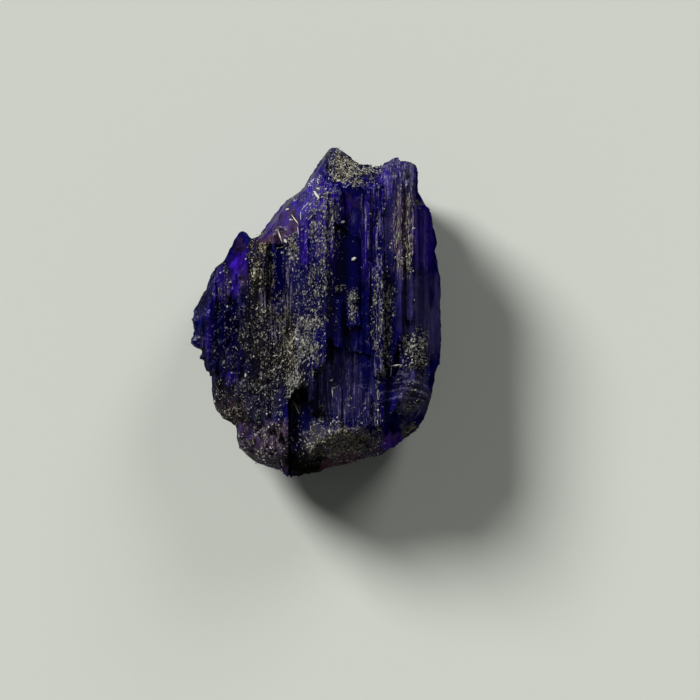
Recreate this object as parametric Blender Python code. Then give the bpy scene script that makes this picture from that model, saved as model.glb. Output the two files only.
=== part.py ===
"""Rough tanzanite: one striated crystal fragment, lying on a flat cleavage face.

The photographed face looks up (+Z), the crystal's long axis runs along Y, and the origin is
in the middle of the stone's box, on the surface that it rests on. Sizes and places below are
in millimetres, and new_object turns them into metres.
"""

import math
import random
from collections import namedtuple

import bmesh
import bpy
from mathutils import Matrix, Vector, noise

MM = 0.001

# Driving dimensions: the finished stone is fitted to these
LENGTH = 18.5
WIDTH = 13.9
DEPTH = 8.5
SEED = 7

# The broken outline seen from the front, clockwise from the top peak
OUTLINE = (
    (1.3, 9.25), (1.6, 9.0), (2.1, 8.6), (2.8, 8.2), (3.3, 8.05), (3.55, 8.15), (3.95, 8.4),
    (4.3, 8.5), (4.6, 8.35), (5.1, 8.4), (5.4, 8.15), (5.45, 7.75), (5.4, 7.1), (5.4, 6.65),
    (5.65, 6.25), (6.05, 5.85), (6.2, 5.55), (6.3, 4.75), (6.5, 3.85), (6.7, 2.8), (6.85, 2.0),
    (6.92, 0.95), (6.9, -0.1), (6.93, -1.0), (6.9, -2.45), (6.85, -3.0), (6.5, -3.65),
    (6.32, -4.3), (6.25, -4.7), (6.1, -5.35), (5.9, -6.1), (5.55, -6.5), (4.9, -7.05),
    (3.95, -7.7), (2.9, -8.15), (1.85, -8.6), (0.8, -8.95), (-0.35, -9.08), (-1.3, -9.25),
    (-1.6, -9.15), (-1.95, -8.8), (-2.6, -8.55), (-3.25, -8.3), (-3.85, -8.05), (-4.2, -7.65),
    (-4.35, -7.05), (-4.38, -6.4), (-4.5, -6.05), (-4.95, -5.8), (-5.4, -5.45), (-5.65, -5.2),
    (-5.68, -4.3), (-5.7, -3.6), (-5.95, -3.5), (-6.2, -3.25), (-6.35, -2.7), (-6.45, -2.2),
    (-6.72, -1.85), (-6.9, -1.55), (-6.8, -1.0), (-6.85, -0.35), (-6.75, 0.1), (-6.45, 0.7),
    (-5.65, 2.15), (-4.4, 4.15), (-4.15, 4.6), (-3.6, 4.07), (-3.0, 4.4), (-2.65, 4.8),
    (-2.2, 5.45), (-1.55, 6.2), (-1.0, 6.75), (-0.45, 7.45), (0.15, 8.15), (0.45, 8.75),
    (0.8, 9.12),
)

# Outer walls: upright, and broken into blocks that step in above and below the waist
WAIST = 3.9
WALL_TOP = 9.1
WALL_LEVELS = 13
WALL_LEDGE = 0.42
WALL_HACKLE = 0.3
BLOCK_SIZE = (1.1, 3.3, 1.3)

# Parallel growth columns: where their sides are, how high the front and the back lie at each
# side, where the lower and upper ends are, and how deep the striae are
Column = namedtuple("Column", "sides front back ends striae")
FULL = (-9.8, 9.8)
REST = (-1.2, -1.2)
COLUMNS = (
    Column((-5.8, -0.7), (4.2, 6.7), (2.3, 0.9), FULL, 0.0),
    Column((-0.8, 5.9), (6.7, 6.3), (0.9, 1.6), FULL, 0.0),
    Column((-7.3, -6.1), (3.7, 4.75), (3.6, 2.7), FULL, 0.07),
    Column((-6.35, -5.6), (5.15, 5.3), (2.4, 1.9), FULL, 0.08),
    Column((-5.7, -4.95), (4.85, 4.95), (1.5, 1.0), FULL, 0.05),
    Column((-5.05, -4.2), (5.65, 5.75), (0.75, 0.45), FULL, 0.1),
    Column((-4.3, -3.45), (6.05, 6.3), (0.4, 0.3), FULL, 0.08),
    Column((-3.6, -2.7), (6.5, 6.65), REST, FULL, 0.11),
    Column((-2.8, -1.7), (6.4, 6.5), REST, FULL, 0.1),
    Column((-2.5, -1.9), (6.75, 6.85), REST, (-9.8, 0.9), 0.08),
    Column((-1.9, -0.9), (7.15, 7.5), (0.26, 0.22), FULL, 0.1),
    Column((-1.0, 1.4), (7.2, 7.35), REST, FULL, 0.07),
    Column((-0.95, -0.15), (7.95, 8.25), REST, (-5.6, 9.8), 0.11),
    Column((-0.3, 0.55), (8.35, 8.5), REST, (-3.2, 9.8), 0.1),
    Column((0.4, 1.35), (8.35, 7.95), REST, (-1.6, 9.8), 0.08),
    Column((1.2, 2.55), (7.3, 7.4), (0.32, 0.28), FULL, 0.03),
    Column((1.7, 2.45), (7.7, 7.65), (3.0, 3.0), (-1.0, 1.2), 0.1),
    Column((2.5, 2.95), (7.8, 7.85), REST, FULL, 0.11),
    Column((2.85, 3.7), (7.6, 7.5), REST, FULL, 0.1),
    Column((3.0, 3.65), (8.05, 7.95), REST, (-3.5, 2.6), 0.07),
    Column((3.6, 4.4), (7.1, 7.25), (0.2, 0.24), FULL, 0.03),
    Column((4.3, 5.4), (7.35, 7.3), REST, FULL, 0.06),
    Column((4.35, 4.7), (7.8, 7.75), REST, (-1.8, 9.8), 0.1),
    Column((4.95, 5.35), (7.75, 7.6), REST, (-0.6, 9.8), 0.1),
    Column((5.3, 6.25), (7.05, 6.45), (0.8, 1.5), FULL, 0.03),
    Column((6.0, 7.2), (6.45, 4.9), (1.9, 3.5), FULL, 0.04),
)
COLUMN_DROP = 0.02
STRIA_WIDTH = 0.2
STATION_LENGTH = 1.7
END_HACKLE = 0.3
END_SLANT = 0.7
SKEW = 0.007
SWAY = 0.16
GRAIN = 0.05

# Slots that columns broke out of: written as columns, whose back heights are the slot's floor
OPEN = (10.0, 10.0)
SLOTS = (
    Column((-1.6, -0.5), OPEN, (5.6, 6.3), (-9.9, -4.8), 0.05),
    Column((-0.55, 0.75), OPEN, (6.3, 7.2), (-9.9, -5.3), 0.08),
    Column((-2.75, -1.8), OPEN, (6.1, 6.2), (0.7, 3.8), 0.12),
    Column((-4.9, -4.25), OPEN, (5.35, 5.4), (-1.9, 0.8), 0.08),
    Column((1.0, 2.5), OPEN, (7.1, 7.05), (0.7, 4.9), 0.0),
    Column((2.0, 3.0), OPEN, (7.25, 7.3), (-4.3, -2.4), 0.0),
    Column((4.2, 4.55), OPEN, (6.7, 6.8), (-3.6, -2.4), 0.05),
    Column((-3.7, -1.25), OPEN, (6.1, 6.3), (-9.9, -6.2), 0.1),
)

# Rough breaks: a point on the break, the way it faces, its size along the edge and up the
# slope, the depth of its bowls, and the depth of ripples across the slope
Break = namedtuple("Break", "point facing width height bowls ripples")
BREAKS = (
    Break((-1.5, 6.0, 6.0), (-0.62, 0.51, 0.6), 11.0, 6.0, 0.9, 0.05),
    Break((-4.9, 2.9, 4.6), (-0.7, 0.4, 0.59), 6.0, 5.0, 0.5, 0.0),
    Break((2.2, 7.05, 7.3), (-0.05, 0.74, 0.67), 3.1, 6.0, 0.5, 0.08),
    Break((1.9, -6.9, 7.0), (0.08, -0.76, 0.65), 7.0, 8.0, 0.6, 0.08),
    Break((5.5, -6.0, 5.7), (0.62, -0.52, 0.59), 8.0, 6.0, 0.7, 0.08),
    Break((5.9, -4.4, 6.7), (0.55, -0.12, 0.82), 4.2, 3.4, 0.35, 0.22),
    Break((-5.4, -4.7, 4.8), (-0.6, -0.42, 0.68), 6.0, 6.0, 0.5, 0.05),
    Break((-3.9, -8.0, 5.5), (-0.3, -0.5, 0.81), 4.7, 5.0, 0.5, 0.06),
    Break((4.5, 8.1, 6.6), (0.1, 0.8, 0.6), 2.6, 5.0, 0.4, 0.0),
    Break((3.0, -8.2, 1.8), (0.15, -0.82, -0.55), 12.0, 6.0, 0.7, 0.1),
    Break((-3.4, -7.3, 1.7), (-0.55, -0.58, -0.6), 9.0, 6.0, 0.7, 0.05),
    Break((3.2, 7.9, 1.9), (0.12, 0.84, -0.53), 11.0, 6.0, 0.6, 0.08),
    Break((-3.1, 5.1, 1.8), (-0.68, 0.52, -0.52), 14.0, 6.0, 0.8, 0.05),
    Break((6.5, -3.4, 1.8), (0.86, -0.25, -0.44), 8.0, 5.0, 0.5, 0.0),
    Break((6.6, 4.5, 2.2), (0.86, 0.3, -0.4), 6.0, 5.0, 0.5, 0.0),
)
BREAK_CELL = 0.42
BREAK_REACH = 6.0
BOWL_SIZE = 1.8
RIPPLE_LENGTH = 0.55

# Glassy bumps along the left margin: the middle and the radius
Bump = namedtuple("Bump", "middle radius")
BUMPS = (
    Bump((-6.55, 0.1, 4.0), 0.3),
    Bump((-6.6, -0.55, 4.1), 0.34),
    Bump((-6.55, -1.65, 4.0), 0.42),
    Bump((-6.2, -2.6, 4.1), 0.3),
)


def clear_scene():
    """Start from an empty file."""
    for item in list(bpy.data.objects):
        bpy.data.objects.remove(item)


def new_object(name, bm):
    """Make a mesh object in metres from a bmesh in millimetres."""
    mesh = bpy.data.meshes.new(name)
    bmesh.ops.recalc_face_normals(bm, faces=bm.faces)
    bmesh.ops.triangulate(bm, faces=bm.faces)
    bmesh.ops.scale(bm, vec=(MM, MM, MM), verts=bm.verts)
    bm.to_mesh(mesh)
    bm.free()
    item = bpy.data.objects.new(name, mesh)
    bpy.context.scene.collection.objects.link(item)
    return item


def combine(stone, other, operation):
    """Apply one Boolean step to the stone, and take the other object away."""
    step = stone.modifiers.new(operation.lower(), "BOOLEAN")
    step.operation = operation
    step.solver = "EXACT"
    step.object = other
    with bpy.context.temp_override(object=stone, active_object=stone):
        bpy.ops.object.modifier_apply(modifier=step.name)
    bpy.data.objects.remove(other)


def bridge(bm, first, second, closed):
    """Join two rows of vertices with quads."""
    count = len(first) if closed else len(first) - 1
    for i in range(count):
        j = (i + 1) % len(first)
        bm.faces.new((first[i], first[j], second[j], second[i]))


def blend(ends, part):
    """The value that lies the given part of the way between two end values."""
    return ends[0] + (ends[1] - ends[0]) * part


def wall_point(x, y, height):
    """Where the outline's point (x, y) lies on the outer wall at a height."""
    place = Vector((x, y, height))
    block = Vector([place[axis] / BLOCK_SIZE[axis] for axis in range(3)])
    ledge = WALL_LEDGE * noise.cell(block)
    hackle = WALL_HACKLE * abs(noise.noise(place * 1.4))
    inset = min(1.0, abs(height - WAIST)) * (ledge + hackle)
    return Vector((x * (1 - 2 * inset / WIDTH), y * (1 - 2 * inset / LENGTH), height))


def wall_body():
    """The stone's outer walls, as one closed body around the outline."""
    bm = bmesh.new()
    rings = []
    for level in range(WALL_LEVELS + 1):
        height = WALL_TOP * level / WALL_LEVELS
        rings.append([bm.verts.new(wall_point(x, y, height)) for x, y in OUTLINE])
    for lower, upper in zip(rings, rings[1:]):
        bridge(bm, lower, upper, closed=True)
    bm.faces.new(rings[0])
    bm.faces.new(rings[-1])
    return new_object("wall_body", bm)


def stria_lines(column, rng):
    """Lines across a column, as the part of its width that they lie at and their furrow."""
    width = column.sides[1] - column.sides[0]
    lines = [(0.0, 0.0)]
    place = STRIA_WIDTH * rng.uniform(0.5, 1.5)
    while column.striae and place < width - 0.5 * STRIA_WIDTH:
        furrow = column.striae * rng.uniform(0.4, 1.0) if len(lines) % 2 else 0.0
        lines.append((place / width, furrow))
        place += STRIA_WIDTH * rng.uniform(0.5, 1.8)
    lines.append((1.0, 0.0))
    return lines


def column_bar(index, column, rng):
    """One growth column: a bar along Y, striated in front and behind, with broken ends."""
    bm = bmesh.new()
    lines = stria_lines(column, rng)
    ends = [rng.uniform(-END_HACKLE, END_HACKLE) for _ in lines]
    slant = rng.uniform(-END_SLANT, END_SLANT)
    skew = rng.uniform(-SKEW, SKEW)
    drop = COLUMN_DROP * index if column.back == REST else 0.0
    stations = max(2, round((column.ends[1] - column.ends[0]) / STATION_LENGTH))
    rows = []
    for station in range(stations + 1):
        y = blend(column.ends, station / stations)
        sway = SWAY * noise.noise(Vector((index * 3.7, y * 0.25, 0.0)))
        front = []
        back = []
        for (part, furrow), end in zip(lines, ends):
            x = blend(column.sides, part) + skew * y
            grain = GRAIN * noise.noise(Vector((x * 5.0, y * 0.8, index)))
            top = blend(column.front, part) - furrow + sway + grain
            along = y + end + slant * (x - column.sides[0])
            front.append(bm.verts.new((x, along, top)))
            back.append(bm.verts.new((x, along, blend(column.back, part) + furrow - drop)))
        rows.append((front, back))
    for (front, back), (next_front, next_back) in zip(rows, rows[1:]):
        bridge(bm, front + back[::-1], next_front + next_back[::-1], closed=True)
    for front, back in (rows[0], rows[-1]):
        bridge(bm, front, back, closed=False)
    return new_object(f"column_{index}", bm)


def all_columns():
    """All growth columns, grown together, less the slots."""
    rng = random.Random(SEED)
    stone = column_bar(0, COLUMNS[0], rng)
    for index, column in enumerate(COLUMNS[1:], start=1):
        combine(stone, column_bar(index, column, rng), "UNION")
    for index, slot in enumerate(SLOTS, start=len(COLUMNS)):
        combine(stone, column_bar(index, slot, rng), "DIFFERENCE")
    return stone


def break_height(u, v, index, spec):
    """Height of a break surface: shell-like bowls that meet in sharp edges, and ripples."""
    distances = noise.voronoi(Vector((u, v, index * 9.0)) / BOWL_SIZE)[0]
    fine = noise.noise(Vector((u * 1.9, v * 1.9, index * 9.7)))
    ripple = abs(math.sin(math.pi * (u + 0.3 * v + 0.5 * fine) / RIPPLE_LENGTH))
    return spec.bowls * (distances[0] ** 2 - 0.3 + 0.2 * fine) + spec.ripples * ripple


def break_slab(index, spec):
    """What a break took away: a slab whose inner side is the rough break surface."""
    bm = bmesh.new()
    turn = Vector(spec.facing).to_track_quat("Z", "Y").to_matrix().to_4x4()
    columns = round(spec.width / BREAK_CELL)
    lines = round(spec.height / BREAK_CELL)
    rows = []
    for j in range(lines + 1):
        v = (j / lines - 0.5) * spec.height
        row = []
        for i in range(columns + 1):
            u = (i / columns - 0.5) * spec.width
            row.append(bm.verts.new((u, v, break_height(u, v, index, spec))))
        rows.append(row)
    for first, second in zip(rows, rows[1:]):
        bridge(bm, first, second, closed=False)
    raised = bmesh.ops.extrude_face_region(bm, geom=bm.faces[:])
    for item in raised["geom"]:
        if isinstance(item, bmesh.types.BMVert):
            item.co.z = BREAK_REACH
    bmesh.ops.transform(bm, matrix=Matrix.Translation(spec.point) @ turn, verts=bm.verts)
    return new_object(f"break_{index}", bm)


def ball(index, bump):
    """A glassy bump, as a small faceted ball."""
    bm = bmesh.new()
    place = Matrix.Translation(bump.middle)
    bmesh.ops.create_icosphere(bm, subdivisions=2, radius=bump.radius, matrix=place)
    return new_object(f"bump_{index}", bm)


def fit_to_size(stone):
    """Fit the stone's box to the driving dimensions, centred over the origin on the floor."""
    places = [vert.co for vert in stone.data.vertices]
    low = Vector([min(place[axis] for place in places) for axis in range(3)])
    high = Vector([max(place[axis] for place in places) for axis in range(3)])
    size = Vector((WIDTH, LENGTH, DEPTH)) * MM
    middle = Vector(((low.x + high.x) / 2, (low.y + high.y) / 2, low.z))
    scale = Matrix.Diagonal([size[axis] / (high[axis] - low[axis]) for axis in range(3)] + [1.0])
    stone.data.transform(scale @ Matrix.Translation(-middle))


def crystal_material():
    """Deep violet-blue crystal."""
    material = bpy.data.materials.new("tanzanite")
    material.use_nodes = True
    shader = material.node_tree.nodes["Principled BSDF"]
    shader.inputs["Base Color"].default_value = (0.035, 0.017, 0.17, 1.0)
    shader.inputs["Roughness"].default_value = 0.3
    shader.inputs["Metallic"].default_value = 0.0
    return material


def build_crystal():
    """The whole stone, as one solid."""
    stone = all_columns()
    combine(stone, wall_body(), "INTERSECT")
    for index, spec in enumerate(BREAKS):
        combine(stone, break_slab(index, spec), "DIFFERENCE")
    for index, bump in enumerate(BUMPS):
        combine(stone, ball(index, bump), "UNION")
    stone.name = "tanzanite_crystal"
    stone.data.name = "tanzanite_crystal"
    fit_to_size(stone)
    stone.data.materials.clear()
    stone.data.materials.append(crystal_material())


clear_scene()
build_crystal()
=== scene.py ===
"""Rough tanzanite: the visible stone and the mineral dust on it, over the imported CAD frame.

The stone lies on its flat back. +X is the right of the striated face as seen from above, +Y is
the crystal's upper end, and +Z points out of that face. The tables and the modelling functions
below are in millimetres, and a finished mesh is turned into metres.
"""

import math
import random
from collections import namedtuple

import bmesh
import bpy
from bpy.props import FloatProperty, FloatVectorProperty, IntProperty, PointerProperty
from mathutils import Matrix, Vector, noise
from mathutils.bvhtree import BVHTree


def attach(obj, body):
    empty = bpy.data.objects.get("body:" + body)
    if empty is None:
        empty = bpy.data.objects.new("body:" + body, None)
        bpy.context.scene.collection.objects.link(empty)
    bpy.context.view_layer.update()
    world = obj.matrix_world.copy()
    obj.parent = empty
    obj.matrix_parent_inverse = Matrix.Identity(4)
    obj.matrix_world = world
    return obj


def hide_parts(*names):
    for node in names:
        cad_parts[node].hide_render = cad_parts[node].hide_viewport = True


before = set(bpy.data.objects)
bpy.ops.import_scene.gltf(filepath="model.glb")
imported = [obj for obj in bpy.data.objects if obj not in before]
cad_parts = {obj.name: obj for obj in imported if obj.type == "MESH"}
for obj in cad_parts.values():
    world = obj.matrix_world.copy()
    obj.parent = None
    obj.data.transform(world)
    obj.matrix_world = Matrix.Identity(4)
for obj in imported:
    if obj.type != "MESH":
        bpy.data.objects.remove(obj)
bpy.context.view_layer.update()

bl_info = {
    "name": "Rough Tanzanite",
    "version": (1, 0, 0),
    "blender": (4, 5, 0),
    "location": "3D View > Sidebar > Tanzanite",
    "description": "Builds a rough striated tanzanite crystal fragment with mineral dust",
    "category": "Add Mesh",
}

MM = 0.001
CAD_STONE = "tanzanite_crystal"
# vertices closer than this are one, in millimetres
MERGE = 0.0005
# edges that turn by more than this many radians stay sharp
SHARP_ANGLE = 0.42
# grains that are made together, as a bmesh operator slows down as its mesh grows
HEAP = 80
# the camera's height, and how wide it sees at the stone's waist, in millimetres
CAMERA_HEIGHT = 400.0
WAIST = 3.9
VIEW_WIDTH = 38.9


def linear(code):
    """A sRGB hex colour as linear red, green and blue."""
    parts = [int(code[start:start + 2], 16) / 255 for start in (1, 3, 5)]
    return [part / 12.92 if part <= 0.04045 else ((part + 0.055) / 1.055) ** 2.4 for part in parts]


# Where the front of the stone differs: middle, half width, half height, and how strongly
Patch = namedtuple("Patch", "x y half_x half_y amount")
PATCHES = {
    # pale speckled mineral dust
    "dust": (
        Patch(2.15, 7.98, 1.5, 1.05, 1.0),
        Patch(1.1, 8.8, 0.6, 0.6, 0.35),
        Patch(0.35, 4.7, 0.95, 2.1, 0.66),
        Patch(0.0, 1.0, 1.0, 2.2, 0.58),
        Patch(-0.65, -2.0, 1.1, 1.7, 0.78),
        Patch(-1.3, -3.4, 0.45, 1.8, 0.85),
        Patch(-2.5, -1.2, 1.6, 2.8, 0.48),
        Patch(-3.0, 2.6, 0.75, 1.6, 0.8),
        Patch(3.65, -0.4, 0.6, 3.0, 0.95),
        Patch(1.98, 0.2, 0.36, 1.1, 0.85),
        Patch(1.05, -0.6, 0.18, 0.5, 0.6),
        Patch(1.26, 1.35, 0.35, 0.25, 0.8),
        Patch(5.45, -2.15, 0.8, 1.1, 1.0),
        Patch(4.3, -2.95, 0.5, 0.15, 0.9),
        Patch(1.4, -7.1, 2.1, 0.8, 1.0),
        Patch(1.8, -8.0, 2.4, 0.5, 0.6),
        Patch(-3.0, -7.4, 1.4, 1.3, 0.62),
        Patch(-3.7, -4.7, 2.0, 1.3, 0.42),
        Patch(-4.9, -5.6, 0.9, 0.5, 0.4),
        Patch(4.5, 4.4, 0.3, 2.6, 0.75),
        Patch(4.8, 4.2, 0.3, 2.2, 0.5),
        Patch(5.12, 4.2, 0.26, 2.4, 0.75),
        Patch(-1.4, 3.4, 0.42, 0.9, 0.8),
        Patch(3.43, -5.2, 0.12, 2.2, 0.85),
        Patch(1.82, -4.0, 0.08, 2.5, 0.6),
        Patch(0.93, -3.9, 0.08, 0.7, 0.6),
        Patch(3.5, 4.6, 0.2, 2.2, 0.35),
        Patch(4.85, -6.5, 0.2, 0.5, 0.6),
        Patch(0.1, 6.6, 0.25, 0.5, 0.6),
        Patch(0.3, -6.1, 0.3, 0.7, 0.5),
        Patch(5.3, -6.6, 0.5, 0.5, 0.95),
        Patch(2.0, -5.9, 1.7, 0.9, 0.35),
        Patch(-5.0, -0.8, 0.8, 2.2, 0.25),
        Patch(-5.05, 2.1, 0.2, 0.7, 0.6),
        Patch(4.2, 6.9, 0.12, 0.9, 0.3),
        Patch(4.95, 7.6, 0.1, 0.9, 0.5),
    ),
    # olive to brown crust
    "ochre": (
        Patch(-3.1, 3.2, 0.55, 1.1, 1.0),
        Patch(-5.05, 2.1, 0.25, 0.7, 1.0),
        Patch(5.3, -6.6, 0.65, 0.65, 1.0),
        Patch(-4.7, -5.5, 0.7, 0.5, 0.5),
        Patch(-2.6, -0.4, 1.5, 3.4, 0.6),
        Patch(1.4, -7.1, 2.2, 0.8, 0.7),
        Patch(1.7, 7.9, 0.8, 0.8, 0.4),
        Patch(-1.35, 3.3, 0.35, 0.8, 0.5),
        Patch(4.8, 4.3, 0.6, 2.2, 0.3),
    ),
    # brown-mauve tint of weathered and cracked faces
    "plum": (
        Patch(-1.75, 4.9, 0.85, 0.95, 0.4),
        Patch(-2.6, 4.0, 0.85, 0.45, 0.5),
        Patch(1.6, -8.5, 3.0, 0.5, 1.0),
        Patch(4.0, -7.3, 0.9, 0.45, 0.8),
        Patch(1.2, -7.5, 1.6, 0.7, 0.65),
        Patch(4.3, -7.5, 1.2, 0.4, 0.6),
        Patch(-3.0, -7.5, 1.6, 1.5, 0.55),
        Patch(-4.6, 2.4, 0.9, 1.2, 0.62),
        Patch(-4.9, -5.5, 1.1, 0.8, 0.65),
        Patch(2.15, 6.1, 0.6, 0.6, 0.2),
        Patch(-4.2, 3.7, 0.5, 0.5, 0.3),
        Patch(5.3, -6.9, 0.9, 0.7, 0.6),
        Patch(2.9, -0.6, 0.15, 2.0, 0.3),
        Patch(4.8, 4.3, 0.55, 2.6, 0.5),
    ),
    # dark neutral film, which hides the crystal's colour
    "grime": (
        Patch(-2.6, -0.6, 1.5, 3.4, 0.75),
        Patch(-3.2, 2.8, 0.7, 1.4, 0.7),
        Patch(-3.9, -4.8, 2.0, 1.4, 0.6),
        Patch(-5.0, -2.6, 1.1, 1.0, 0.55),
        Patch(-1.2, -2.6, 0.9, 2.4, 0.6),
        Patch(0.0, 0.6, 1.0, 1.6, 0.4),
        Patch(3.65, -0.5, 0.5, 2.8, 0.2),
        Patch(5.4, -2.2, 0.7, 0.9, 0.4),
        Patch(1.6, -5.0, 1.8, 1.6, 0.3),
        Patch(5.4, -4.7, 0.9, 0.9, 0.35),
        Patch(5.3, -6.7, 0.7, 0.6, 0.7),
        Patch(2.1, 7.9, 1.3, 0.8, 0.6),
        Patch(-4.9, 2.2, 0.6, 0.9, 0.7),
        Patch(-5.2, -1.8, 1.1, 1.8, 0.45),
        Patch(1.0, -8.9, 2.6, 0.3, 0.4),
        Patch(4.9, -7.6, 0.9, 0.2, 0.7),
        Patch(3.4, -8.2, 0.9, 0.2, 0.6),
        Patch(-0.7, -7.9, 1.1, 1.3, 0.85),
        Patch(-4.6, 3.2, 0.8, 0.7, 0.7),
        Patch(-5.6, 0.8, 1.0, 1.6, 0.5),
        Patch(-4.6, -1.6, 0.7, 1.4, 0.4),
        Patch(-0.5, -5.4, 0.7, 1.6, 0.5),
        Patch(-6.0, 1.0, 0.5, 1.6, 0.4),
        Patch(-5.6, -3.6, 0.8, 1.2, 0.5),
    ),
    # painted glow: vivid violet where light would pass through thin crystal
    "violet": (
        Patch(-0.62, 4.3, 0.25, 1.8, 0.75),
        Patch(-0.1, 7.3, 0.5, 1.2, 0.5),
        Patch(-0.7, 6.4, 0.7, 1.0, 0.6),
        Patch(-4.45, 1.8, 0.22, 1.1, 1.0),
        Patch(-4.15, 2.9, 0.35, 0.6, 0.5),
        Patch(-4.9, 2.0, 0.7, 1.4, 0.35),
        Patch(3.9, 7.0, 0.3, 1.2, 0.5),
        Patch(3.9, -7.4, 0.9, 0.4, 0.4),
        Patch(-5.6, 1.3, 0.12, 0.7, 0.9),
        Patch(-4.7, -3.6, 0.35, 0.6, 0.5),
        Patch(-6.0, -1.0, 0.16, 1.6, 0.6),
        Patch(5.9, 4.3, 0.6, 2.0, 0.6),
        Patch(4.1, -7.15, 0.8, 0.4, 0.5),
        Patch(0.5, 4.6, 0.7, 2.2, 0.5),
        Patch(-2.2, 5.2, 0.8, 0.8, 0.4),
        Patch(1.6, 5.8, 0.3, 0.5, 0.5),
        Patch(2.95, 4.2, 0.45, 3.0, 0.35),
    ),
    # milky grey-violet haze of cracked crystal, with a painted sheen
    "milk_with_sheen": (
        Patch(5.6, 0.4, 1.4, 1.7, 0.5),
        Patch(6.5, -0.2, 0.45, 2.4, 0.7),
        Patch(3.98, 4.8, 0.33, 3.1, 0.5),
        Patch(0.5, 4.6, 0.8, 1.6, 0.4),
        Patch(4.8, 4.3, 0.5, 2.8, 0.6),
        Patch(1.7, -3.9, 1.8, 1.8, 0.5),
        Patch(5.3, -4.2, 1.0, 1.1, 0.7),
        Patch(4.5, 7.6, 1.05, 1.1, 0.45),
        Patch(-0.5, 6.7, 0.8, 1.3, 0.25),
        Patch(-1.8, 5.1, 0.9, 1.0, 0.4),
        Patch(1.0, 8.4, 0.7, 0.9, 0.5),
        Patch(-3.0, -7.6, 1.4, 1.4, 0.75),
        Patch(-3.7, -4.8, 2.0, 1.4, 0.35),
        Patch(1.5, -7.3, 2.2, 0.9, 0.9),
    ),
    # painted highlights: thin pale lines along the crystal, where stria edges would catch the light
    "lines": (
        Patch(3.1, 4.1, 0.6, 3.2, 1.0),
        Patch(1.7, -4.2, 1.7, 2.2, 0.5),
        Patch(4.8, 4.6, 0.6, 2.6, 0.95),
        Patch(4.4, 7.6, 1.0, 1.2, 1.0),
        Patch(-2.2, 0.9, 0.9, 3.0, 0.7),
        Patch(3.2, -1.0, 0.5, 3.5, 0.7),
        Patch(0.3, 5.5, 0.9, 2.0, 0.4),
        Patch(-5.4, -0.5, 0.9, 3.0, 0.35),
        Patch(3.45, -4.9, 0.2, 2.4, 0.9),
    ),
    # rough broken ground, where striae are hard to see
    "broken": (
        Patch(-5.0, -0.5, 1.6, 4.5, 0.8),
        Patch(-3.6, -5.0, 2.2, 1.8, 1.0),
        Patch(-3.0, -7.6, 1.4, 1.6, 1.0),
        Patch(-4.6, 3.0, 1.0, 1.2, 1.0),
        Patch(5.5, -3.6, 1.1, 2.2, 0.9),
        Patch(-2.6, -1.6, 1.4, 2.6, 0.6),
        Patch(0.2, 2.0, 0.9, 2.5, 0.35),
        Patch(-1.6, 5.2, 1.0, 1.4, 0.6),
        Patch(2.0, 8.0, 1.6, 1.2, 1.0),
        Patch(1.5, -7.5, 2.6, 1.2, 0.8),
    ),
    # deep, clean crystal that looks almost black
    "deep": (
        Patch(1.75, 2.8, 0.9, 2.1, 0.55),
        Patch(2.75, -1.4, 0.42, 3.0, 0.95),
        Patch(-4.6, 2.6, 1.1, 1.5, 0.5),
        Patch(-4.9, 2.9, 0.4, 0.9, 0.6),
        Patch(-5.0, -2.6, 1.2, 1.0, 0.6),
        Patch(-0.85, -6.4, 0.6, 1.6, 0.6),
        Patch(-5.2, -0.6, 0.95, 1.5, 0.85),
        Patch(-2.2, 2.1, 0.5, 1.5, 0.6),
        Patch(6.4, 0.7, 0.17, 0.6, 0.7),
        Patch(4.4, -3.6, 0.5, 0.6, 0.9),
        Patch(4.2, -6.2, 0.5, 0.55, 1.0),
        Patch(2.95, -0.5, 0.2, 2.5, 0.6),
        Patch(4.0, -0.6, 0.16, 2.6, 0.6),
        Patch(6.2, 3.0, 0.5, 2.2, 0.5),
        Patch(5.6, 2.6, 0.8, 0.7, 0.7),
        Patch(4.0, 2.6, 0.4, 0.8, 0.6),
        Patch(-2.1, 1.6, 0.35, 1.8, 0.6),
        Patch(-5.9, 0.0, 0.5, 2.0, 0.5),
        Patch(4.5, 7.3, 0.9, 1.1, 0.35),
        Patch(-0.4, 6.6, 0.8, 1.4, 0.35),
    ),
    # freshly broken glassy faces that aren't level: they keep their gloss, and each facet gets painted
    # light and shade
    "fresh_with_facet_shade": (
        Patch(-0.7, 6.4, 0.9, 1.5, 0.6),
        Patch(-1.8, 5.0, 0.8, 0.9, 0.35),
        Patch(-6.7, -0.6, 0.4, 1.6, 0.8),
        Patch(5.3, -4.6, 1.0, 1.0, 0.7),
        Patch(0.9, 8.7, 0.6, 0.5, 0.5),
        Patch(-3.0, -7.4, 1.5, 1.4, 0.5),
        Patch(-3.7, -4.8, 1.9, 1.3, 0.5),
        Patch(-5.2, -0.5, 1.3, 3.0, 0.4),
        Patch(4.5, 8.0, 0.8, 0.5, 0.4),
    ),
    # frosted, bruised crystal with a painted highlight: narrow bevels along rims, and the worn lower
    # end
    "frost_with_highlight": (
        Patch(5.3, 8.0, 0.12, 0.5, 0.7),
        Patch(5.25, 6.9, 0.1, 0.6, 0.6),
        Patch(5.75, 6.3, 0.35, 0.15, 0.9),
        Patch(4.3, 8.55, 0.7, 0.12, 0.6),
        Patch(4.78, -6.6, 0.1, 0.55, 0.7),
        Patch(1.4, -7.25, 2.0, 0.8, 0.6),
        Patch(5.1, -6.05, 0.4, 0.09, 0.7),
    ),
    # shell-like breaks, ringed by painted highlights on their rims
    "shell": (
        Patch(5.25, -4.5, 1.1, 1.0, 1.0),
        Patch(4.0, -4.6, 0.6, 0.6, 0.5),
    ),
}
LAYERS = (*PATCHES, "worn", "wall")

# Start the noise that tilts the small facets of broken ground, and the places of the grains
GRAIN_SEED = 11
NOISE_SEED = 4

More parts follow.
